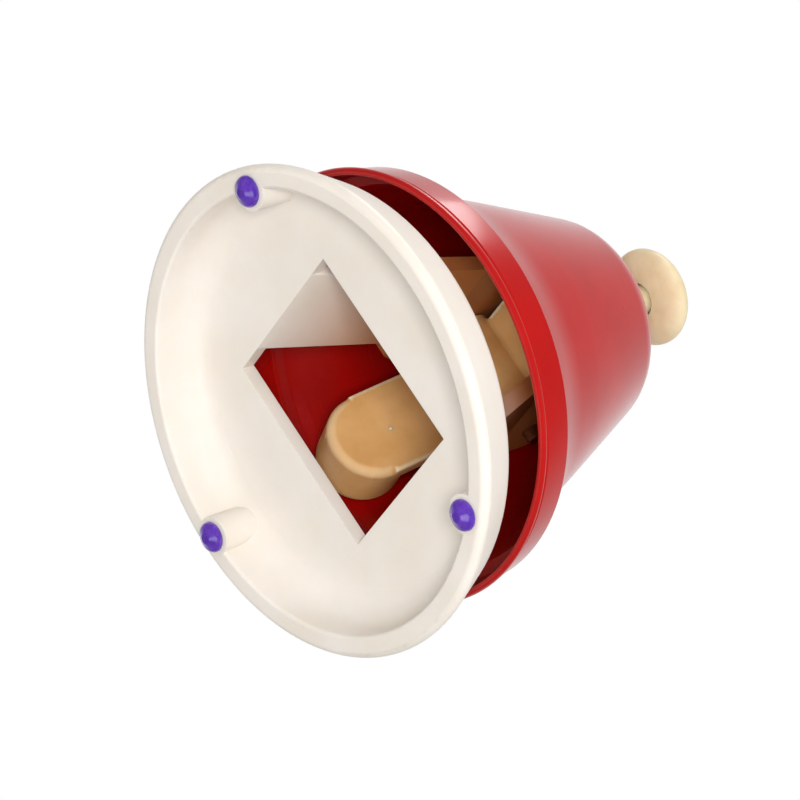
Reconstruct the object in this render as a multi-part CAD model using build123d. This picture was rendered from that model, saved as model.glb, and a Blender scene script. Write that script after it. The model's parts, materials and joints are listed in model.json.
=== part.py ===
from build123d import *

import os
from math import cos, radians

# Press-top desk bell: a moulded dish base with an A-frame yoke, an enamelled bell bolted on top of the
# yoke, and a plunger with a round button that tips a pivoted hammer against the bell's inside. The hammer's
# weight lifts the button again. The model is stored struck: button down, hammer's head at the bell.
# Heights are measured from the plane of the base's rim; export() lifts every piece onto the feet.
# X runs along the hammer's swing, Y along its pivot pin and Z up the bell's axis. All sizes in mm.

# Base dish
RIM_R = 42.0
RIM_IN_R = 37.4
BASE_TOP_R = 36.9
FLOOR_R = 36.2
BASE_H = 10.1
FLOOR_T = 2.5
FLOOR_Z = BASE_H - FLOOR_T
WINDOW_X = 32.0
WINDOW_Y = 36.4

# Feet and their bosses
FOOT_COUNT = 3
FOOT_CIRCLE_R = 37.3
FOOT_R = 2.7
FOOT_PROUD = 1.8
FOOT_FLAT_R = 0.9
FOOT_STEM_R = 1.23
FOOT_STEM_L = 3.8
BOSS_R = 3.4
BOSS_Z = 0.0

# Yoke: two uprights lean in from the window's short sides, then stand straight up to a bridge
YOKE_T = 2.7
YOKE_FOOT_Y = WINDOW_Y / 2
YOKE_KINK_Z = 41.0
YOKE_TOP_Y = 9.43
YOKE_NEAR_X = 11.3
YOKE_FAR_X = -10.0
BRIDGE_TOP_Z = 59.5
BRIDGE_T = 2.5
BRIDGE_Z = BRIDGE_TOP_Z - BRIDGE_T
BRIDGE_NEAR_X = 9.4
BRIDGE_FAR_X = -11.4
EAR_X = -15.5
EAR_Z = 33.6

# Hammer: a hub on a pin, a leaning arm with a thick round head, and a flat push arm under the plunger
PIVOT_X = -9.0
PIVOT_Z = 47.5
PIN_R = 1.5
PIN_FIT = 0.05
PIN_PROUD = 2.2
PIN_HEAD_R = 2.6
PIN_HEAD_T = 1.2
HUB_R = 4.5
HUB_GAP = 0.3
ARM_W = 15.9
ARM_T = 3.0
ARM_LEAN = 11.8
ARM_FACE = -3.6
HEAD_DROP = 23.7
HEAD_R = ARM_W / 2
HEAD_NOSE_R = 7.4
HEAD_L = 11.9
HEAD_EDGE = 1.2
HEAD_NOSE_EDGE = 3.0
PUSH_ARM_X = 3.5
PUSH_ARM_Z = 50.0
PUSH_ARM_T = 2.0
GATE_R = 0.45
GATE_H = 0.2
GATE_DROP = 20.3

# Bell
BELL_T = 0.9
LIP_R = 36.7
LIP_Z = 17.0
BEAD_R = 0.7
BAND_R = 35.6
BAND_Z = 24.3
SKIRT_R = 33.4
CROWN_R = 16.6
CROWN_Z = 65.8
CROWN_HOLE_R = 3.05

# Neck, with the washers and nuts stacked along it
THREAD_R = 2.95
NECK_R = 2.6
NECK_COLLAR_R = 4.6
NECK_BOTTOM_Z = 55.4
NECK_THREAD_TOP_Z = 69.6
NECK_TOP_Z = 81.4
SEAT_T = 1.0
SEAT_R = 7.0
SEAT_Z = CROWN_Z - BELL_T - SEAT_T
TOP_WASHER_R = 5.5
TOP_WASHER_T = 0.6
LOCK_WASHER_R = 4.4
LOCK_WASHER_T = 0.5
BELL_NUT_T = 2.2
BUSH_WASHER_R = 5.2
BUSH_WASHER_T = 0.4
BUSH_NUT_T = 1.3
NUT_FLATS = 8.0

# Plunger and button, with the button pressed
PRESS = 2.2
ROD_R = 1.1
ROD_FIT = 0.06
ROD_TIP_GAP = 0.15
ROD_TIP_Z = PUSH_ARM_Z + PUSH_ARM_T + ROD_TIP_GAP
ROD_TOP_Z = 82.8
CLIP_R = 2.1
CLIP_GROOVE_R = 0.85
CLIP_T = 0.5
CLIP_Z = NECK_BOTTOM_Z - PRESS - CLIP_T - 0.05
KNOB_R = 8.6
KNOB_UNDER_R = 3.7
KNOB_BOTTOM_Z = 77.6
KNOB_WAIST_Z = 80.2
KNOB_TOP_Z = 84.0
RECESS_R = 3.1
RECESS_TOP_Z = 81.8
KNOB_STEM_R = 1.75
KNOB_STEM_Z = 77.9
STEM_BORE_R = 2.0
STEM_SEAT_Z = 77.6


def export(name, part):
    """Writes one piece as STEP, lifted so that the feet stand on Z = 0."""
    export_step(Pos(0, 0, FOOT_PROUD) * part, f"parts/{name}.step")


def turned(points, radii):
    """Solid of revolution about Z from (radius, height) points that start and end on the axis."""
    with BuildSketch(Plane.XZ) as section:
        with BuildLine():
            path = FilletPolyline(*points, radius=radii)
            Line(path @ 1, path @ 0)
        make_face()
    return revolve(section.sketch, Axis.Z)


def disc(radius, height, z):
    """Plain disc standing on height z."""
    return Pos(0, 0, z) * extrude(Circle(radius), height)


def washer(outer_r, inner_r, height, z):
    """Plain washer or tube standing on height z."""
    return disc(outer_r, height, z) - disc(inner_r, height, z)


def hex_nut(bore_r, height, z):
    """Hexagonal nut with its corners turned off at both faces."""
    corner_r = NUT_FLATS / 2 / cos(radians(30))
    blank = Pos(0, 0, z) * extrude(RegularPolygon(corner_r, 6), height)
    rim = corner_r - 0.1
    turned_down = turned([(0, z), (rim, z), (rim, z + height), (0, z + height)], [0.45, 0.45])
    return (blank & turned_down) - disc(bore_r, height, z)


def foot_places():
    """Places of the three feet; the first is straight under the hammer's head."""
    return [Rot(0, 0, 180 + 360 / FOOT_COUNT * i) * Pos(FOOT_CIRCLE_R, 0, 0) for i in range(FOOT_COUNT)]


def dish():
    """Shallow dish: deep concave fillet inside, rounded rim, foot bosses with stem holes, and window."""
    body = turned(
        [(0, FLOOR_Z), (FLOOR_R, FLOOR_Z), (RIM_IN_R, 0), (RIM_R, 0), (BASE_TOP_R, BASE_H), (0, BASE_H)],
        [5.0, 0.6, 1.2, 2.5],
    )
    filled = turned([(0, 0), (RIM_R, 0), (BASE_TOP_R, BASE_H), (0, BASE_H)], [1.2, 2.5])
    for place in foot_places():
        boss = place * disc(BOSS_R, FLOOR_Z + 0.6, BOSS_Z)
        body += boss & filled
    for place in foot_places():
        body -= place * disc(FOOT_STEM_R + 0.02, FOOT_STEM_L + 0.3, 0)
    return body - Pos(0, 0, BASE_H - FLOOR_T / 2) * Box(WINDOW_X, WINDOW_Y, 3 * FLOOR_T)


def upright():
    """The +Y upright of the yoke, which widens into an ear that carries the pivot pin."""
    sunk = FLOOR_Z + 0.5
    profile = make_face(
        Polyline(
            (YOKE_FOOT_Y, FLOOR_Z),
            (YOKE_TOP_Y, YOKE_KINK_Z),
            (YOKE_TOP_Y, BRIDGE_TOP_Z),
            (YOKE_TOP_Y + YOKE_T, BRIDGE_TOP_Z),
            (YOKE_TOP_Y + YOKE_T, YOKE_KINK_Z + 0.4),
            (YOKE_FOOT_Y + YOKE_T, BASE_H - 0.4),
            (YOKE_FOOT_Y + YOKE_T, sunk),
            (YOKE_FOOT_Y + 1, sunk),
            close=True,
        )
    )
    slab = Pos(-30, 0, 0) * extrude(Plane.YZ * profile, 60)
    edge = FilletPolyline(
        (YOKE_FAR_X, FLOOR_Z),
        (YOKE_NEAR_X, FLOOR_Z),
        (YOKE_NEAR_X, 43.0),
        (BRIDGE_NEAR_X, BRIDGE_TOP_Z),
        (BRIDGE_FAR_X, BRIDGE_TOP_Z),
        (EAR_X, 51.0),
        (EAR_X, EAR_Z + 2.5),
        (EAR_X + 1.5, EAR_Z),
        (YOKE_FAR_X, EAR_Z),
        (YOKE_FAR_X, sunk + 1),
        radius=[0.1, 8.0, 1.5, 1.5, 4.0, 1.0, 0.6, 0.8],
    )
    side_view = make_face([edge, Line(edge @ 1, edge @ 0)])
    return slab & (Pos(0, 30, 0) * extrude(Plane.XZ * side_view, 60))


def base_frame():
    """Dish, uprights and bridge in one moulding, bored for the pivot pin and for the neck."""
    body = dish()
    wall = upright()
    body += wall
    body += mirror(wall, Plane.XZ)
    length = BRIDGE_NEAR_X - BRIDGE_FAR_X
    middle = (BRIDGE_NEAR_X + BRIDGE_FAR_X) / 2
    body += Pos(middle, 0, BRIDGE_Z + BRIDGE_T / 2) * Box(length, 2 * YOKE_TOP_Y + YOKE_T, BRIDGE_T)
    body -= disc(THREAD_R + 0.02, BRIDGE_T + 2, BRIDGE_Z - 1)
    return body - Pos(PIVOT_X, 30, PIVOT_Z) * Rot(90, 0, 0) * extrude(Circle(PIN_R + 0.02), 60)


def foot():
    """Dome foot with a small flat to stand on and a stem that presses into its boss."""
    dome = turned(
        [(0, BOSS_Z), (FOOT_R, BOSS_Z), (FOOT_R - 0.15, -0.9), (FOOT_FLAT_R, -FOOT_PROUD), (0, -FOOT_PROUD)],
        [0.3, 0.9, 0.6],
    )
    return dome + disc(FOOT_STEM_R, FOOT_STEM_L, 0)


def inset(points, thickness):
    """The bell's outline from lip to crown, moved inward by a wall's thickness."""
    normals = [Vector(q[1] - p[1], p[0] - q[0]).normalized() for p, q in zip(points, points[1:])]
    moved = []
    for i, (r, z) in enumerate(points):
        before = normals[max(i - 1, 0)]
        after = normals[min(i, len(normals) - 1)]
        mean = (before + after).normalized()
        shift = mean * (-thickness / mean.dot(before))
        moved.append((r + shift.X, z + shift.Y))
    return moved


def bell_shell():
    """Deep-drawn bell: beaded lip, conical band, a step, a flared conical body and a domed crown."""
    outline = [
        (LIP_R, LIP_Z),
        (BAND_R, BAND_Z),
        (SKIRT_R, BAND_Z + 0.8),
        (SKIRT_R - 1.0, BAND_Z + 2.2),
        (29.2, 32.4),
        (26.1, 40.9),
        (CROWN_R, CROWN_Z),
        (0, CROWN_Z),
    ]
    outer = turned([(0, LIP_Z)] + outline, [0.3, 0.7, 1.0, 5.0, 40.0, 120.0, 9.0])
    hollow = inset(outline, BELL_T)
    hollow[0] = (hollow[0][0], LIP_Z - 1)
    hollow[-1] = (0, hollow[-1][1])
    inner = turned([(0, LIP_Z - 1)] + hollow, [0.3, 0.4, 1.6, 5.0, 40.0, 120.0, 9.0 - BELL_T])
    bead = Pos(0, 0, LIP_Z + BEAD_R) * Torus(LIP_R - BEAD_R + 0.3, BEAD_R)
    return outer + bead - inner - disc(CROWN_HOLE_R, 3 * BELL_T, CROWN_Z - 2 * BELL_T)


def neck_bush():
    """Hollow neck: thread through the bridge, collar under the bell, thread for its nut, counterbored tube."""
    body = disc(THREAD_R, BRIDGE_TOP_Z - NECK_BOTTOM_Z, NECK_BOTTOM_Z)
    body += disc(NECK_COLLAR_R, SEAT_Z - BRIDGE_TOP_Z, BRIDGE_TOP_Z)
    body += disc(THREAD_R, NECK_THREAD_TOP_Z - SEAT_Z, SEAT_Z)
    body += disc(NECK_R, NECK_TOP_Z - NECK_THREAD_TOP_Z, NECK_THREAD_TOP_Z)
    body -= disc(ROD_R + ROD_FIT, NECK_TOP_Z - NECK_BOTTOM_Z, NECK_BOTTOM_Z)
    return body - disc(STEM_BORE_R, NECK_TOP_Z - STEM_SEAT_Z, STEM_SEAT_Z)


def hammer():
    """Lever moulding: hub, push arm, and a leaning plate arm whose foot is the thick round head."""
    width = 2 * (YOKE_TOP_Y - HUB_GAP)
    hub = Pos(0, width / 2, 0) * Rot(90, 0, 0) * extrude(Circle(HUB_R), width)
    plate = Pos(ARM_FACE - ARM_T / 2, 0, -HEAD_DROP / 2) * Box(ARM_T, ARM_W, HEAD_DROP)
    head = turned(
        [(0, 0), (HEAD_R, 0), (HEAD_NOSE_R, HEAD_L), (0, HEAD_L)],
        [HEAD_EDGE, HEAD_NOSE_EDGE],
    )
    arm = plate + Pos(ARM_FACE, 0, -HEAD_DROP) * Rot(0, -90, 0) * head
    arm += Pos(ARM_FACE - 0.1, 0.4, -GATE_DROP) * Rot(0, 90, 0) * disc(GATE_R, GATE_H + 0.1, 0)
    body = Pos(PIVOT_X, 0, PIVOT_Z) * (hub + Rot(0, ARM_LEAN, 0) * arm)
    reach = PUSH_ARM_X - PIVOT_X
    push_arm = Pos(PIVOT_X + reach / 2, 0, PUSH_ARM_Z + PUSH_ARM_T / 2) * Box(reach, ARM_W, PUSH_ARM_T)
    tip_corners = push_arm.edges().filter_by(Axis.Z).sort_by(Axis.X)[-2:]
    body += fillet(tip_corners, 2.5)
    return body - Pos(PIVOT_X, 30, PIVOT_Z) * Rot(90, 0, 0) * extrude(Circle(PIN_R + PIN_FIT), 60)


def hammer_pin():
    """Pivot pin, pushed in until its head meets one ear, with its plain end proud of the other."""
    face = YOKE_TOP_Y + YOKE_T
    shaft = turned(
        [(0, -face), (PIN_R, -face), (PIN_R, face + PIN_PROUD), (0, face + PIN_PROUD)],
        [0.05, 0.4],
    )
    pin_head = turned(
        [(0, -face - PIN_HEAD_T), (PIN_HEAD_R, -face - PIN_HEAD_T), (PIN_HEAD_R, -face), (0, -face)],
        [0.5, 0.1],
    )
    return Pos(PIVOT_X, 0, PIVOT_Z) * Rot(-90, 0, 0) * (shaft + pin_head)


def plunger_rod():
    """Straight rod with a domed tip and a groove for its retaining clip."""
    rod = turned([(0, ROD_TIP_Z), (ROD_R, ROD_TIP_Z), (ROD_R, ROD_TOP_Z), (0, ROD_TOP_Z)], [0.5, 0.2])
    return rod - washer(ROD_R + 1, CLIP_GROOVE_R, CLIP_T, CLIP_Z)


def retaining_clip():
    """Open C-clip in the rod's groove, which stops the plunger against the foot of the neck."""
    clip = washer(CLIP_R, CLIP_GROOVE_R, CLIP_T, CLIP_Z)
    return clip - Pos(CLIP_R, 0, CLIP_Z + CLIP_T / 2) * Box(2 * CLIP_R, 1.2, 2 * CLIP_T)


def button_knob():
    """Round button: flat-bellied bead with a deep recess for the neck and a stem that holds the rod."""
    belly = KNOB_R - KNOB_UNDER_R
    with BuildSketch(Plane.XZ) as section:
        with BuildLine():
            underside = Line((0, KNOB_BOTTOM_Z), (KNOB_UNDER_R, KNOB_BOTTOM_Z))
            EllipticalCenterArc((KNOB_UNDER_R, KNOB_WAIST_Z), belly, KNOB_WAIST_Z - KNOB_BOTTOM_Z, -90)
            crown = EllipticalCenterArc((0, KNOB_WAIST_Z), KNOB_R, KNOB_TOP_Z - KNOB_WAIST_Z, arc_size=86)
            Polyline(crown @ 1, (0, (crown @ 1).Y), underside @ 0)
        make_face()
    body = revolve(section.sketch, Axis.Z)
    body -= disc(RECESS_R, RECESS_TOP_Z - KNOB_BOTTOM_Z + 1, KNOB_BOTTOM_Z - 1)
    body += disc(KNOB_STEM_R, RECESS_TOP_Z - KNOB_STEM_Z + 0.2, KNOB_STEM_Z)
    return body - disc(ROD_R, ROD_TOP_Z - KNOB_STEM_Z, KNOB_STEM_Z)


if __name__ == "__main__":
    os.makedirs("parts", exist_ok=True)
    export("base_frame", base_frame())
    for number, place in enumerate(foot_places(), start=1):
        export(f"foot_{number}", place * foot())
    export("bell_shell", bell_shell())
    export("neck_bush", neck_bush())
    export("bush_washer", washer(BUSH_WASHER_R, THREAD_R, BUSH_WASHER_T, BRIDGE_Z - BUSH_WASHER_T))
    export("bush_nut", hex_nut(THREAD_R, BUSH_NUT_T, BRIDGE_Z - BUSH_WASHER_T - BUSH_NUT_T))
    export("seat_washer", washer(SEAT_R, THREAD_R, SEAT_T, SEAT_Z))
    export("top_washer", washer(TOP_WASHER_R, THREAD_R, TOP_WASHER_T, CROWN_Z))
    lock_z = CROWN_Z + TOP_WASHER_T
    export("lock_washer", washer(LOCK_WASHER_R, THREAD_R, LOCK_WASHER_T, lock_z))
    export("bell_nut", hex_nut(THREAD_R, BELL_NUT_T, lock_z + LOCK_WASHER_T))
    export("hammer", hammer())
    export("hammer_pin", hammer_pin())
    export("plunger_rod", plunger_rod())
    export("retaining_clip", retaining_clip())
    export("button_knob", button_knob())
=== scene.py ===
"""Looks of a press-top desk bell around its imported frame: moulded base, enamelled bell, hammer and button."""

import json
import logging
import math
from collections.abc import Callable
from dataclasses import dataclass, field
from enum import Enum

import bpy
from mathutils import Matrix, Vector

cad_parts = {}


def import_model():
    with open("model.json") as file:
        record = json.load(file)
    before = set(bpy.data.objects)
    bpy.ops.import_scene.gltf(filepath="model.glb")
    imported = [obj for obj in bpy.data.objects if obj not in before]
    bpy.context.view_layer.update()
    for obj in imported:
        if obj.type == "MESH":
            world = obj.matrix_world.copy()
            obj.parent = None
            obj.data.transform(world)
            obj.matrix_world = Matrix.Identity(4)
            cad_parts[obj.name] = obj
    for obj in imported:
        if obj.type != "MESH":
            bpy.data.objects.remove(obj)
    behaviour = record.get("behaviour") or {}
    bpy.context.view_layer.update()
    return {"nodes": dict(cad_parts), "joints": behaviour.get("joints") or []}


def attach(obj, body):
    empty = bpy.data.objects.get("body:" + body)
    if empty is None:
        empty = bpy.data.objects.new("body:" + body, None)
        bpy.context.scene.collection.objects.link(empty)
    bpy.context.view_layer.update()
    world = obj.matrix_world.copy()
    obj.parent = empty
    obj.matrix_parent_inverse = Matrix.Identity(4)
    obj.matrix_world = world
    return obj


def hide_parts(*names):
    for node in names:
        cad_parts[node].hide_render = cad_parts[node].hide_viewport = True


LOG = logging.getLogger("desk_bell")
MM = 0.001
# How close, in millimetres, a corner is to a plane to count as on it.
TOUCH = 0.01


class Select(Enum):
    """What an edit works on."""

    FACE = "FACE"
    EDGE = "EDGE"


def linear(colour: str) -> tuple[float, float, float, float]:
    """Turn an sRGB hex colour into the linear colour that a socket takes.

    Args:
        colour: six hex digits, such as "d44d4c".

    Returns:
        Linear red, green and blue, and an alpha of 1.
    """
    channels = [int(colour[i:i + 2], 16) / 255 for i in (0, 2, 4)]
    lit = [c / 12.92 if c <= 0.04045 else ((c + 0.055) / 1.055) ** 2.4 for c in channels]
    return (lit[0], lit[1], lit[2], 1.0)


def add_node(
    tree: bpy.types.NodeTree,
    kind: str,
    values: dict[str | int, object] | None = None,
    links: dict[str | int, bpy.types.NodeSocket] | None = None,
    **settings: object,
) -> bpy.types.Node:
    """Add a node with its settings, its input values and its incoming links.

    Args:
        tree: the node tree to add to.
        kind: the node's type name.
        values: input socket to the value set on it.
        links: input socket to the output socket that feeds it.
        **settings: properties set on the node before its sockets are used.

    Returns:
        The new node.
    """
    node = tree.nodes.new(kind)
    for name, value in settings.items():
        setattr(node, name, value)
    for socket, value in (values or {}).items():
        node.inputs[socket].default_value = value
    for socket, source in (links or {}).items():
        tree.links.new(source, node.inputs[socket])
    return node


def per_metre(millimetres: float) -> float:
    """Noise scale whose features are about that many millimetres across."""
    return 1 / (millimetres * MM)


@dataclass(frozen=True)
class Finish:
    """A finish made of one principled shader with mottled colour, uneven gloss and a fine surface texture.

    The mottle and the gloss are noise on Object coordinates, so they stay put on the piece.
    """

    name: str
    light: str
    dark: str
    mottle_mm: float
    roughness: tuple[float, float]
    ior: float = 1.5
    metallic: float = 0.0
    subsurface: float = 0.0
    subsurface_mm: tuple[float, float, float] = (1.0, 1.0, 1.0)
    coat: float = 0.0
    coat_roughness: float = 0.05
    grain_mm: float = 0.6
    grain_height_mm: float = 0.01
    nib_mm: float = 0.0
    nib_height_mm: float = 0.0
    # Painted highlight: a paler colour on sharply bent edges, picked by Pointiness between the two bends.
    painted_highlight: str = ""
    painted_highlight_bend: tuple[float, float] = (0.505, 0.535)
    # Painted shade: a warm colour blended in with height on Object Z, between two heights in millimetres.
    painted_shade: str = ""
    painted_shade_from_mm: float = 0.0
    painted_shade_to_mm: float = 1.0

    def colour(self, tree: bpy.types.NodeTree, place: bpy.types.NodeSocket) -> bpy.types.NodeSocket:
        """Colour over the surface.

        Args:
            tree: the material's node tree.
            place: Object coordinates.

        Returns:
            The colour socket.
        """
        cloud = add_node(
            tree, "ShaderNodeTexNoise",
            {"Scale": per_metre(self.mottle_mm), "Detail": 4.0, "Roughness": 0.55}, {"Vector": place},
        )
        spread = add_node(
            tree, "ShaderNodeMapRange", {"From Min": 0.35, "From Max": 0.65}, {"Value": cloud.outputs["Fac"]}
        )
        mix = add_node(
            tree, "ShaderNodeMix", {6: linear(self.light), 7: linear(self.dark)},
            {0: spread.outputs["Result"]}, data_type="RGBA",
        )
        # Painted highlight: sharply bent edges are made paler.
        if self.painted_highlight:
            bend = add_node(tree, "ShaderNodeNewGeometry").outputs["Pointiness"]
            flat, sharp = self.painted_highlight_bend
            highlight_mask = add_node(
                tree, "ShaderNodeMapRange", {"From Min": flat, "From Max": sharp}, {"Value": bend}
            )
            mix = add_node(
                tree, "ShaderNodeMix", {7: linear(self.painted_highlight)},
                {0: highlight_mask.outputs["Result"], 6: mix.outputs[2]}, data_type="RGBA",
            )
        # Painted shade: blend towards the warm colour with height, for light bounced inside the bell.
        if not self.painted_shade:
            return mix.outputs[2]
        height = add_node(tree, "ShaderNodeSeparateXYZ", links={0: place}).outputs["Z"]
        depth = add_node(
            tree, "ShaderNodeMapRange",
            {"From Min": self.painted_shade_from_mm * MM, "From Max": self.painted_shade_to_mm * MM}, {"Value": height},
        )
        shaded_colour = add_node(
            tree, "ShaderNodeMix", {7: linear(self.painted_shade)},
            {0: depth.outputs["Result"], 6: mix.outputs[2]}, data_type="RGBA",
        )
        return shaded_colour.outputs[2]

    def gloss(self, tree: bpy.types.NodeTree, place: bpy.types.NodeSocket) -> bpy.types.NodeSocket:
        """Roughness over the surface, between the finish's two values.

        Args:
            tree: the material's node tree.
            place: Object coordinates.

        Returns:
            The roughness socket.
        """
        smear = add_node(
            tree, "ShaderNodeTexNoise", {"Scale": per_metre(4 * self.mottle_mm), "Detail": 3.0},
            {"Vector": place},
        )
        low, high = self.roughness
        rough = add_node(
            tree, "ShaderNodeMapRange", {"From Min": 0.3, "From Max": 0.7, "To Min": low, "To Max": high},
            {"Value": smear.outputs["Fac"]},
        )
        return rough.outputs["Result"]

    def relief(self, tree: bpy.types.NodeTree, place: bpy.types.NodeSocket) -> bpy.types.NodeSocket:
        """Normal over the surface, from a fine moulded or sprayed texture.

        Args:
            tree: the material's node tree.
            place: Object coordinates.

        Returns:
            The normal socket.
        """
        peel = add_node(
            tree, "ShaderNodeTexNoise", {"Scale": per_metre(self.grain_mm), "Detail": 2.0}, {"Vector": place}
        )
        bump = add_node(
            tree, "ShaderNodeBump", {"Distance": self.grain_height_mm * MM, "Strength": 1.0},
            {"Height": peel.outputs["Fac"]},
        )
        if not self.nib_mm:
            return bump.outputs["Normal"]
        cells = add_node(tree, "ShaderNodeTexVoronoi", {"Scale": per_metre(self.nib_mm)}, {"Vector": place})
        nib = add_node(
            tree, "ShaderNodeMapRange", {"From Min": 0.0, "From Max": 0.07, "To Min": 1.0, "To Max": 0.0},
            {"Value": cells.outputs["Distance"]},
        )
        dust = add_node(
            tree, "ShaderNodeBump", {"Distance": self.nib_height_mm * MM, "Strength": 1.0},
            {"Height": nib.outputs["Result"], "Normal": bump.outputs["Normal"]},
        )
        return dust.outputs["Normal"]

    def material(self) -> bpy.types.Material:
        """The finish's material, made once and then shared."""
        made = bpy.data.materials.get(self.name)
        if made:
            return made
        made = bpy.data.materials.new(self.name)
        made.use_nodes = True
        tree = made.node_tree
        tree.nodes.clear()
        place = add_node(tree, "ShaderNodeTexCoord").outputs["Object"]
        shader = add_node(
            tree,
            "ShaderNodeBsdfPrincipled",
            {
                "Metallic": self.metallic,
                "IOR": self.ior,
                "Subsurface Weight": self.subsurface,
                "Subsurface Radius": self.subsurface_mm,
                "Subsurface Scale": MM,
                "Coat Weight": self.coat,
                "Coat Roughness": self.coat_roughness,
            },
            {
                "Base Color": self.colour(tree, place),
                "Roughness": self.gloss(tree, place),
                "Normal": self.relief(tree, place),
            },
        )
        add_node(tree, "ShaderNodeOutputMaterial", links={"Surface": shader.outputs["BSDF"]})
        return made

    def dress(self, piece: bpy.types.Object) -> None:
        """Give the finish to a piece, on all its faces."""
        piece.data.materials.clear()
        piece.data.materials.append(self.material())


# Cream ABS, injection moulded: even, slightly see-through, and satin from a polished tool. Towards the top of
# the yoke its colour turns a warm tan: painted shade that stands in for light bounced red inside the bell.
CREAM_ABS = Finish(
    "cream_moulded_abs", "efe9e2", "eae3d9", 14.0, (0.32, 0.44), ior=1.54, subsurface=0.2,
    subsurface_mm=(2.2, 1.5, 1.0), grain_mm=1.2, grain_height_mm=0.006, painted_shade="b4703f", painted_shade_from_mm=10.0,
    painted_shade_to_mm=35.0,
)
# Ivory polypropylene, moulded thick: waxy, with faint flow clouds and a soft gloss. Its tan is darker than the
# plastic: painted shade for a part inside the bell. Its rounded edges are painted paler: a painted highlight.
WAXY_PP = Finish(
    "ivory_moulded_polypropylene", "e3b57a", "d8a769", 6.0, (0.26, 0.36), ior=1.49, subsurface=0.45,
    subsurface_mm=(3.0, 2.0, 1.0), grain_mm=1.0, grain_height_mm=0.006, painted_highlight="fbeccb",
)
# Ivory ABS button and neck: satin, and warmer than the base.
IVORY_ABS = Finish(
    "ivory_moulded_abs", "e8d9b6", "dfcca6", 4.0, (0.34, 0.46), ior=1.54, subsurface=0.3,
    subsurface_mm=(2.6, 1.6, 0.9), grain_mm=0.8, grain_height_mm=0.005,
)
# Red stoving enamel sprayed on drawn steel: deep red under a satin coat, with a fine orange peel and a few
# nibs of dust.
RED_ENAMEL = Finish(
    "red_stoving_enamel", "ba0c0a", "b30a08", 9.0, (0.30, 0.40), ior=1.5, coat=0.6, coat_roughness=0.14,
    grain_mm=0.9, grain_height_mm=0.003, nib_mm=4.5, nib_height_mm=0.03,
)
# The same enamel inside the bell with no clear layer over it, in a darker red: painted shade for the inside of
# the bell.
RED_ENAMEL_SHADED_INSIDE = Finish(
    "red_enamel_inside_painted_shade", "9a0604", "8e0403", 12.0, (0.24, 0.34), ior=1.45, grain_mm=0.9,
    grain_height_mm=0.004,
)
# Purple thermoplastic rubber: glossy and slightly see-through.
PURPLE_TPR = Finish(
    "purple_glossy_tpr", "6b42b8", "5230a4", 1.2, (0.14, 0.26), ior=1.5, subsurface=0.3,
    subsurface_mm=(0.6, 0.4, 0.9), coat=0.5, grain_mm=0.5, grain_height_mm=0.01,
)
# Nickel-plated steel, turned: fine machining haze.
NICKEL_STEEL = Finish(
    "nickel_plated_steel", "c9c5bd", "b5b0a7", 1.0, (0.22, 0.34), metallic=1.0, grain_mm=0.3,
    grain_height_mm=0.003,
)
# Steel pin: browner and duller than the plating.
BROWN_STEEL_PIN = Finish(
    "brown_steel_pin", "cdb095", "bb9a7c", 0.8, (0.45, 0.55), metallic=1.0, grain_mm=0.3,
    grain_height_mm=0.003,
)
# Hard-drawn spring steel: darker and duller than the plating.
SPRING_STEEL = Finish(
    "blued_spring_steel", "76767a", "606066", 0.6, (0.30, 0.40), metallic=1.0, grain_mm=0.2,
    grain_height_mm=0.002,
)


def select_none() -> None:
    """Leave object mode's selection empty."""
    if bpy.context.object and bpy.context.object.mode != "OBJECT":
        bpy.ops.object.mode_set(mode="OBJECT")
    bpy.ops.object.select_all(action="DESELECT")


def select_only(piece: bpy.types.Object) -> None:
    """Select one piece alone and make it active."""
    select_none()
    piece.select_set(True)
    bpy.context.view_layer.objects.active = piece


def add_modifier(piece: bpy.types.Object, kind: str, **settings: object) -> None:
    """Add a modifier to a piece and apply it.

    Args:
        piece: the mesh object.
        kind: the modifier's type name.
        **settings: the modifier's settings.
    """
    select_only(piece)
    made = piece.modifiers.new(kind.lower(), kind)
    for name, value in settings.items():
        setattr(made, name, value)
    bpy.ops.object.modifier_apply(modifier=made.name)


def settle(piece: bpy.types.Object) -> None:
    """Apply a piece's place, turn and scale to its mesh."""
    select_only(piece)
    bpy.ops.object.transform_apply(location=True, rotation=True, scale=True)


def pick(piece: bpy.types.Object, kind: Select, chosen: Callable[[object], bool]) -> None:
    """Select a piece's faces or edges by a test, and go into edit mode on them.

    Args:
        piece: the mesh object.
        kind: whether faces or edges are selected.
        chosen: a test of the face, or of the edge's two ends, that says whether it is selected.
    """
    select_only(piece)
    bpy.ops.object.mode_set(mode="EDIT")
    bpy.ops.mesh.select_mode(type=kind.value)
    bpy.ops.mesh.select_all(action="DESELECT")
    bpy.ops.object.mode_set(mode="OBJECT")
    mesh = piece.data
    for item in mesh.polygons if kind is Select.FACE else mesh.edges:
        tested = item if kind is Select.FACE else [mesh.vertices[i].co for i in item.vertices]
        item.select = bool(chosen(tested))
    bpy.ops.object.mode_set(mode="EDIT")


def smooth(piece: bpy.types.Object, degrees: float = 40.0) -> None:
    """Shade a piece smooth, and leave the edges sharper than an angle crisp."""
    select_only(piece)
    bpy.ops.object.shade_smooth_by_angle(angle=math.radians(degrees))


def join(name: str, pieces: list[bpy.types.Object]) -> bpy.types.Object:
    """Join pieces into the first one and name it."""
    select_none()
    for piece in pieces:
        piece.select_set(True)
    bpy.context.view_layer.objects.active = pieces[0]
    bpy.ops.object.join()
    pieces[0].name = name
    return pieces[0]


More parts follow.
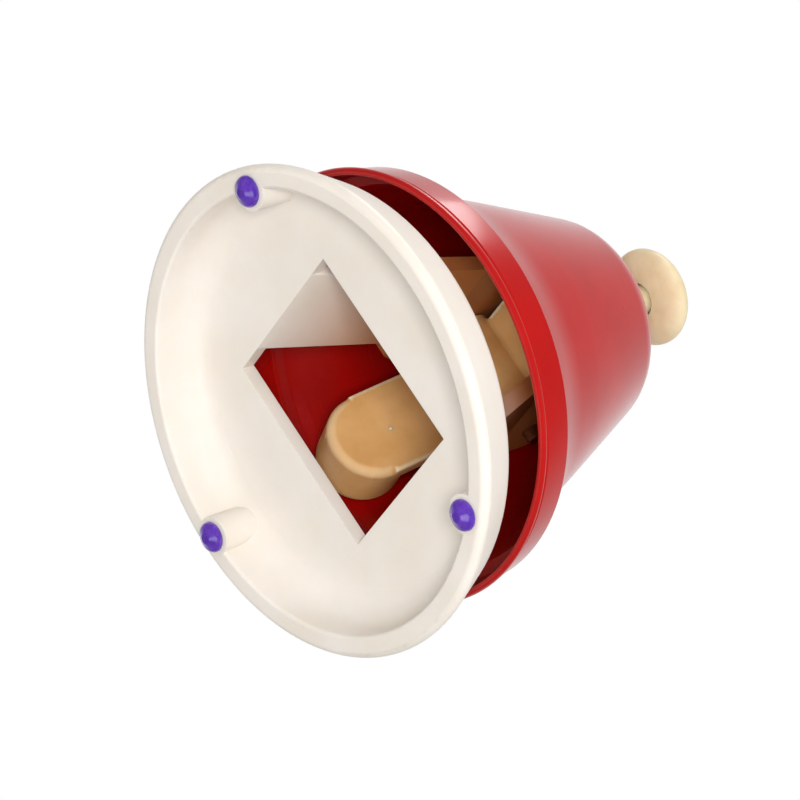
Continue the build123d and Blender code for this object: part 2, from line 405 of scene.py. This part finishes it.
def arc_corners(corners: tuple[tuple[float, float, float], ...], steps: int = 8) -> list[tuple[float, float]]:
    """Round a (radius, height) outline's corners with arcs.

    Args:
        corners: (radius, height, bend) in millimetres; the first and last have no bend.
        steps: points along each arc.

    Returns:
        The outline's points in metres.
    """
    points = [(corners[0][0] * MM, corners[0][1] * MM)]
    for before, here, after in zip(corners, corners[1:], corners[2:]):
        at = Vector(here[:2]) * MM
        come = (Vector(before[:2]) * MM - at).normalized()
        leave = (Vector(after[:2]) * MM - at).normalized()
        half = come.angle(leave) / 2
        bend = here[2] * MM
        centre = at + (come + leave).normalized() * (bend / math.sin(half))
        start = at + come * (bend / math.tan(half)) - centre
        end = at + leave * (bend / math.tan(half)) - centre
        for i in range(steps + 1):
            part = start.lerp(end, i / steps).normalized() * bend + centre
            points.append((part.x, part.y))
    points.append((corners[-1][0] * MM, corners[-1][1] * MM))
    return points


def turn_on_axis(name: str, outline: list[tuple[float, float]], segments: int) -> bpy.types.Object:
    """Draw a ring up the Z axis through an outline's points, as on a lathe.

    Args:
        name: the piece's name.
        outline: (radius, height) in metres, from the first ring to the last.
        segments: how many sides a ring has.

    Returns:
        The open surface.
    """
    select_none()
    radius, height = outline[0]
    bpy.ops.mesh.primitive_circle_add(vertices=segments, radius=radius, location=(0, 0, height))
    piece = bpy.context.object
    piece.name = name
    settle(piece)
    bpy.ops.object.mode_set(mode="EDIT")
    bpy.ops.mesh.select_all(action="SELECT")
    for new_radius, new_height in outline[1:]:
        bpy.ops.mesh.extrude_region_move(TRANSFORM_OT_translate={"value": (0, 0, new_height - height)})
        ratio = new_radius / radius
        bpy.ops.transform.resize(value=(ratio, ratio, 1), center_override=(0, 0, new_height))
        radius, height = new_radius, new_height
    bpy.ops.object.mode_set(mode="OBJECT")
    return piece


@dataclass
class Bell:
    """The enamelled bell, in millimetres from the plane that the feet stand on."""

    segments: int = 256
    smooth_degrees: float = 35.0
    crown_faces_down: float = -0.9
    bead_r: float = 0.7
    bead_turn: tuple[float, float, int] = (-205.0, 50.0, 17)
    bead_at: tuple[float, float] = (36.3, 19.5)
    outside: tuple[tuple[float, float, float], ...] = (
        (36.25, 20.35, 0.0),
        (36.45, 20.8, 0.2),
        (35.60, 26.0, 0.4),
        (34.40, 26.6, 0.25),
        (34.00, 26.3, 0.2),
        (33.35, 26.9, 0.5),
        (32.40, 28.3, 5.0),
        (29.20, 34.2, 40.0),
        (26.10, 42.7, 120.0),
        (16.60, 67.6, 9.0),
        (3.05, 67.6, 0.0),
    )
    inside: tuple[tuple[float, float, float], ...] = (
        (3.05, 66.7, 0.0),
        (16.00, 66.7, 8.1),
        (25.20, 42.4, 120.0),
        (28.35, 33.8, 40.0),
        (31.60, 27.7, 4.0),
        (32.70, 26.0, 0.8),
        (34.75, 25.2, 0.8),
        (35.50, 20.3, 0.0),
    )

    def bead(self) -> list[tuple[float, float]]:
        """Rolled bead round the lip, from the mouth's side round to the outside, in metres."""
        first, last, steps = self.bead_turn
        turns = [math.radians(first + (last - first) * i / steps) for i in range(steps + 1)]
        radius, height = self.bead_at
        return [
            ((radius + self.bead_r * math.cos(turn)) * MM, (height + self.bead_r * math.sin(turn)) * MM)
            for turn in turns
        ]

    def is_inner(self, face: bpy.types.MeshPolygon) -> bool:
        """Whether a face above the bead is on the inner wall or under the crown."""
        mouth = (self.bead_at[1] + self.bead_r) * MM
        under_crown = face.normal.z < self.crown_faces_down
        to_axis = face.normal.z < 0 and face.normal.xy.dot(face.center.xy) < 0
        return face.center.z > mouth and (under_crown or to_axis)

    def build(self) -> bpy.types.Object:
        """Make the bell, with its inner wall in a darker red: painted shade for the inside of the bell."""
        path = self.bead() + arc_corners(self.outside) + arc_corners(self.inside)
        shell = turn_on_axis("enamelled_bell", path, self.segments)
        add_modifier(shell, "WELD", merge_threshold=TOUCH * MM)
        pick(shell, Select.EDGE, lambda ends: False)
        bpy.ops.mesh.select_non_manifold()
        bpy.ops.mesh.bridge_edge_loops()
        bpy.ops.mesh.select_all(action="SELECT")
        bpy.ops.mesh.normals_make_consistent(inside=False)
        bpy.ops.object.mode_set(mode="OBJECT")
        smooth(shell, self.smooth_degrees)
        RED_ENAMEL.dress(shell)
        # The inner wall's darker red is painted shade for the inside of the bell.
        shell.data.materials.append(RED_ENAMEL_SHADED_INSIDE.material())
        pick(shell, Select.FACE, self.is_inner)
        shell.active_material_index = 1
        bpy.ops.object.material_slot_assign()
        select_none()
        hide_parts("bell_shell")
        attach(shell, "bell")
        LOG.info("bell: %d faces", len(shell.data.polygons))
        return shell


@dataclass
class Hammer:
    """The hammer's waxy moulding, in millimetres from its pivot."""

    pivot: Vector
    hub_r: float = 4.5
    hub_width: float = 18.2
    bore_r: float = 1.6
    lean: float = 11.8
    arm_face: float = -3.6
    arm_width: float = 15.8
    arm_thick: float = 3.0
    drop: float = 23.7
    arm_top: float = 1.0
    arm_edge: float = 0.5
    head_length: float = 11.85
    head_edge: float = 1.5
    nose_r: float = 7.35
    nose_edge: float = 2.5
    push_reach: float = 12.4
    push_under: float = 2.5
    push_thick: float = 2.0
    push_corner: float = 2.5
    gate_r: float = 0.42
    gate_sunk: float = 0.22
    gate_at: tuple[float, float] = (0.4, -20.3)
    voxel: float = 0.26
    melt: int = 5
    smooth_degrees: float = 80.0

    def block(self, low: tuple[float, float, float], high: tuple[float, float, float]) -> bpy.types.Object:
        """Add a block between two corners, in millimetres."""
        select_none()
        middle = [(a + b) / 2 * MM for a, b in zip(low, high)]
        bpy.ops.mesh.primitive_cube_add(size=1, location=middle)
        made = bpy.context.object
        made.scale = [(b - a) * MM for a, b in zip(low, high)]
        settle(made)
        return made

    def hub(self) -> bpy.types.Object:
        """Hub along the pin, with its bore."""
        select_none()
        half = self.hub_width / 2 * MM
        bpy.ops.mesh.primitive_cylinder_add(
            vertices=96, radius=self.hub_r * MM, depth=2 * half, rotation=(math.pi / 2, 0, 0)
        )
        made = bpy.context.object
        settle(made)
        pick(made, Select.FACE, lambda face: abs(face.normal.y) > 0.9)
        inset = (self.hub_r - self.bore_r) * MM
        bpy.ops.mesh.inset(thickness=inset, depth=0)
        bpy.ops.mesh.bridge_edge_loops()
        bpy.ops.object.mode_set(mode="OBJECT")
        return made

    def head(self) -> bpy.types.Object:
        """Round head that tapers to a well rounded nose, lying along -X from the arm's face."""
        select_none()
        bpy.ops.mesh.primitive_cone_add(
            vertices=128, radius1=self.arm_width / 2 * MM, radius2=self.nose_r * MM,
            depth=self.head_length * MM, rotation=(0, -math.pi / 2, 0),
            location=((self.arm_face - self.head_length / 2) * MM, 0, -self.drop * MM),
        )
        made = bpy.context.object
        settle(made)
        nose_x = (self.arm_face - self.head_length / 2) * MM
        pick(made, Select.EDGE, lambda ends: all(end.x < nose_x for end in ends))
        bpy.ops.mesh.bevel(offset=self.nose_edge * MM, segments=10)
        bpy.ops.object.mode_set(mode="OBJECT")
        pick(made, Select.EDGE, lambda ends: all(end.x > (self.arm_face - TOUCH) * MM for end in ends))
        bpy.ops.mesh.bevel(offset=self.head_edge * MM, segments=8)
        bpy.ops.object.mode_set(mode="OBJECT")
        return made

    def arm(self) -> bpy.types.Object:
        """Plate arm from the hub down to the head's middle, with soft front edges."""
        half = self.arm_width / 2
        face = self.arm_face
        made = self.block((face - self.arm_thick, -half, -self.drop), (face, half, self.arm_top))
        front = (face - TOUCH) * MM
        pick(
            made, Select.EDGE,
            lambda ends: all(end.x > front for end in ends) and ends[0].y == ends[1].y,
        )
        bpy.ops.mesh.bevel(offset=self.arm_edge * MM, segments=4)
        bpy.ops.object.mode_set(mode="OBJECT")
        return made

    def push_arm(self) -> bpy.types.Object:
        """Flat arm that the plunger's tip stands on, with rounded corners at its end."""
        half = self.arm_width / 2
        top = self.push_under + self.push_thick
        made = self.block((0, -half, self.push_under), (self.push_reach, half, top))
        tip = (self.push_reach - TOUCH) * MM
        pick(
            made, Select.EDGE,
            lambda ends: all(end.x > tip for end in ends) and abs(ends[0].z - ends[1].z) > TOUCH * MM,
        )
        bpy.ops.mesh.bevel(offset=self.push_corner * MM, segments=8)
        bpy.ops.object.mode_set(mode="OBJECT")
        return made

    def gate(self) -> bpy.types.Object:
        """Nipped-off gate on the arm's face, left by the moulding."""
        select_none()
        across, down = self.gate_at
        bpy.ops.mesh.primitive_uv_sphere_add(
            segments=16, ring_count=8, radius=self.gate_r * MM,
            location=((self.arm_face - self.gate_sunk) * MM, across * MM, down * MM),
        )
        made = bpy.context.object
        settle(made)
        return made

    def build(self) -> bpy.types.Object:
        """Make the hammer as one moulding with rounded edges and blended corners."""
        leaning = join("leaning_arm", [self.arm(), self.head()])
        leaning.rotation_euler = (0, math.radians(self.lean), 0)
        settle(leaning)
        gate = self.gate()
        gate.rotation_euler = (0, math.radians(self.lean), 0)
        settle(gate)
        moulding = join("hammer_moulding", [leaning, self.hub(), self.push_arm()])
        add_modifier(moulding, "REMESH", mode="VOXEL", voxel_size=self.voxel * MM)
        add_modifier(moulding, "SMOOTH", factor=0.5, iterations=self.melt)
        moulding = join("hammer_moulding", [moulding, gate])
        moulding.location = self.pivot
        settle(moulding)
        smooth(moulding, self.smooth_degrees)
        WAXY_PP.dress(moulding)
        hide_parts("hammer")
        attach(moulding, "hammer")
        LOG.info("hammer: %d faces", len(moulding.data.polygons))
        return moulding


@dataclass(frozen=True)
class SoftBox:
    """A soft box, placed in metres from the object's middle as the camera sees it."""

    name: str
    across: float
    up: float
    near: float
    size: float
    power: float
    mirrored: bool = True


@dataclass
class Studio:
    """Camera, lights, white surround and floor for an object that is looked at from below."""

    lens_mm: float = 189.0
    eye: Vector = field(default_factory=lambda: Vector((0.4924, 0.2030, -0.4183)))
    forward: Vector = field(default_factory=lambda: Vector((-0.7144, -0.2903, 0.6367)).normalized())
    down: Vector = field(default_factory=lambda: Vector((-0.5493, 0.7963, -0.2533)).normalized())
    middle: Vector = field(default_factory=lambda: Vector((0, 0, 0.043)))
    floor_size: float = 6.0
    room: float = 0.05
    sweep: float = 1.0
    fill: float = 0.46
    lamps: tuple[SoftBox, ...] = (
        SoftBox("key_box", 0.04, 0.00, 1.00, 0.24, 7.3, mirrored=False),
        SoftBox("side_box", 0.60, -0.10, 0.25, 0.40, 1.5, mirrored=False),
        SoftBox("low_box", -0.50, -0.40, 0.60, 0.35, 0.9),
        SoftBox("top_box", 0.30, 0.90, -0.35, 0.45, 3.5),
    )

    def camera(self) -> None:
        """Set the camera, with no shift and no depth of field."""
        data = bpy.data.cameras.new("camera")
        data.lens = self.lens_mm
        data.sensor_width = 36.0
        data.clip_start = 0.01
        data.dof.use_dof = False
        view = bpy.data.objects.new("camera", data)
        right = self.down.cross(self.forward).normalized()
        turn = Matrix((right, -self.down, -self.forward)).transposed()
        view.matrix_world = Matrix.Translation(self.eye) @ turn.to_4x4()
        bpy.context.scene.collection.objects.link(view)
        bpy.context.scene.camera = view

    def light(self, lamp: SoftBox) -> None:
        """Add a square soft box that points at the object's middle.

        Args:
            lamp: where it is, its size and its power.
        """
        data = bpy.data.lights.new(lamp.name, "AREA")
        data.size = lamp.size
        data.energy = lamp.power
        box = bpy.data.objects.new(lamp.name, data)
        right = self.down.cross(self.forward).normalized()
        offset = right * lamp.across - self.down * lamp.up - self.forward * lamp.near
        box.location = self.middle + offset
        box.rotation_euler = offset.to_track_quat("Z", "Y").to_euler()
        box.visible_glossy = lamp.mirrored
        bpy.context.scene.collection.objects.link(box)

    def surround(self) -> None:
        """White sweep behind the object and a dimmer room in front of it.

        The camera sees pure white. Dull surfaces get an even fill. Glossy ones reflect the sweep at a glance
        and the dim room face on.
        """
        world = bpy.data.worlds.new("white_sweep_and_room")
        world.use_nodes = True
        tree = world.node_tree
        tree.nodes.clear()
        path = add_node(tree, "ShaderNodeLightPath")
        place = add_node(tree, "ShaderNodeTexCoord")
        behind = add_node(
            tree, "ShaderNodeVectorMath", {1: self.forward}, {0: place.outputs["Generated"]},
            operation="DOT_PRODUCT",
        )
        sweep = add_node(
            tree, "ShaderNodeMapRange",
            {"From Min": 0.32, "From Max": 0.95, "To Min": self.room, "To Max": self.sweep},
            {"Value": behind.outputs["Value"]},
        )
        mirrored = add_node(
            tree, "ShaderNodeBackground", {"Color": (1, 1, 1, 1)}, {"Strength": sweep.outputs["Result"]}
        )
        fill = add_node(tree, "ShaderNodeBackground", {"Color": linear("fffaf4"), "Strength": self.fill})
        white = add_node(tree, "ShaderNodeBackground", {"Color": (1, 1, 1, 1), "Strength": 1.0})
        lit = add_node(
            tree, "ShaderNodeMixShader",
            links={0: path.outputs["Is Glossy Ray"], 1: fill.outputs[0], 2: mirrored.outputs[0]},
        )
        both = add_node(
            tree, "ShaderNodeMixShader",
            links={0: path.outputs["Is Camera Ray"], 1: lit.outputs[0], 2: white.outputs[0]},
        )
        add_node(tree, "ShaderNodeOutputWorld", links={"Surface": both.outputs[0]})
        bpy.context.scene.world = world

    def floor(self) -> None:
        """Pale floor under the feet that is seen only from above, so that it never hides the underside."""
        bpy.ops.mesh.primitive_plane_add(size=self.floor_size, location=(0, 0, 0))
        ground = bpy.context.object
        ground.name = "floor"
        paint = bpy.data.materials.new("pale_floor_paint")
        paint.use_nodes = True
        tree = paint.node_tree
        tree.nodes.clear()
        side = add_node(tree, "ShaderNodeNewGeometry")
        pale = add_node(tree, "ShaderNodeBsdfDiffuse", {"Color": linear("f2f0ec")})
        clear = add_node(tree, "ShaderNodeBsdfTransparent")
        both = add_node(
            tree, "ShaderNodeMixShader",
            links={0: side.outputs["Backfacing"], 1: pale.outputs[0], 2: clear.outputs[0]},
        )
        add_node(tree, "ShaderNodeOutputMaterial", links={"Surface": both.outputs[0]})
        ground.data.materials.append(paint)
        ground.visible_shadow = False
        ground.visible_diffuse = False
        ground.visible_glossy = False

    def build(self) -> None:
        """Set up everything around the object."""
        self.camera()
        self.surround()
        self.floor()
        for lamp in self.lamps:
            self.light(lamp)
        bpy.context.scene.view_settings.view_transform = "Standard"
        LOG.info("studio ready")


FINISHES = {
    "base_frame": CREAM_ABS,
    "foot_1": PURPLE_TPR,
    "foot_2": PURPLE_TPR,
    "foot_3": PURPLE_TPR,
    "bell_shell": RED_ENAMEL,
    "hammer": WAXY_PP,
    "button_knob": IVORY_ABS,
    "neck_bush": IVORY_ABS,
    "hammer_pin": BROWN_STEEL_PIN,
    "retaining_clip": SPRING_STEEL,
}


def main() -> None:
    """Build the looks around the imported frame."""
    logging.basicConfig(level=logging.INFO, format="%(name)s: %(message)s")
    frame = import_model()
    bpy.ops.object.select_all(action="DESELECT")
    for name, node in frame["nodes"].items():
        FINISHES.get(name, NICKEL_STEEL).dress(node)
        LOG.info("dressed %s", name)
    Bell().build()
    swing = next(joint for joint in frame["joints"] if joint["name"] == "hammer_swing")
    Hammer(pivot=Vector(swing["pos_m"])).build()
    Studio().build()


if __name__ == "__main__":
    main()
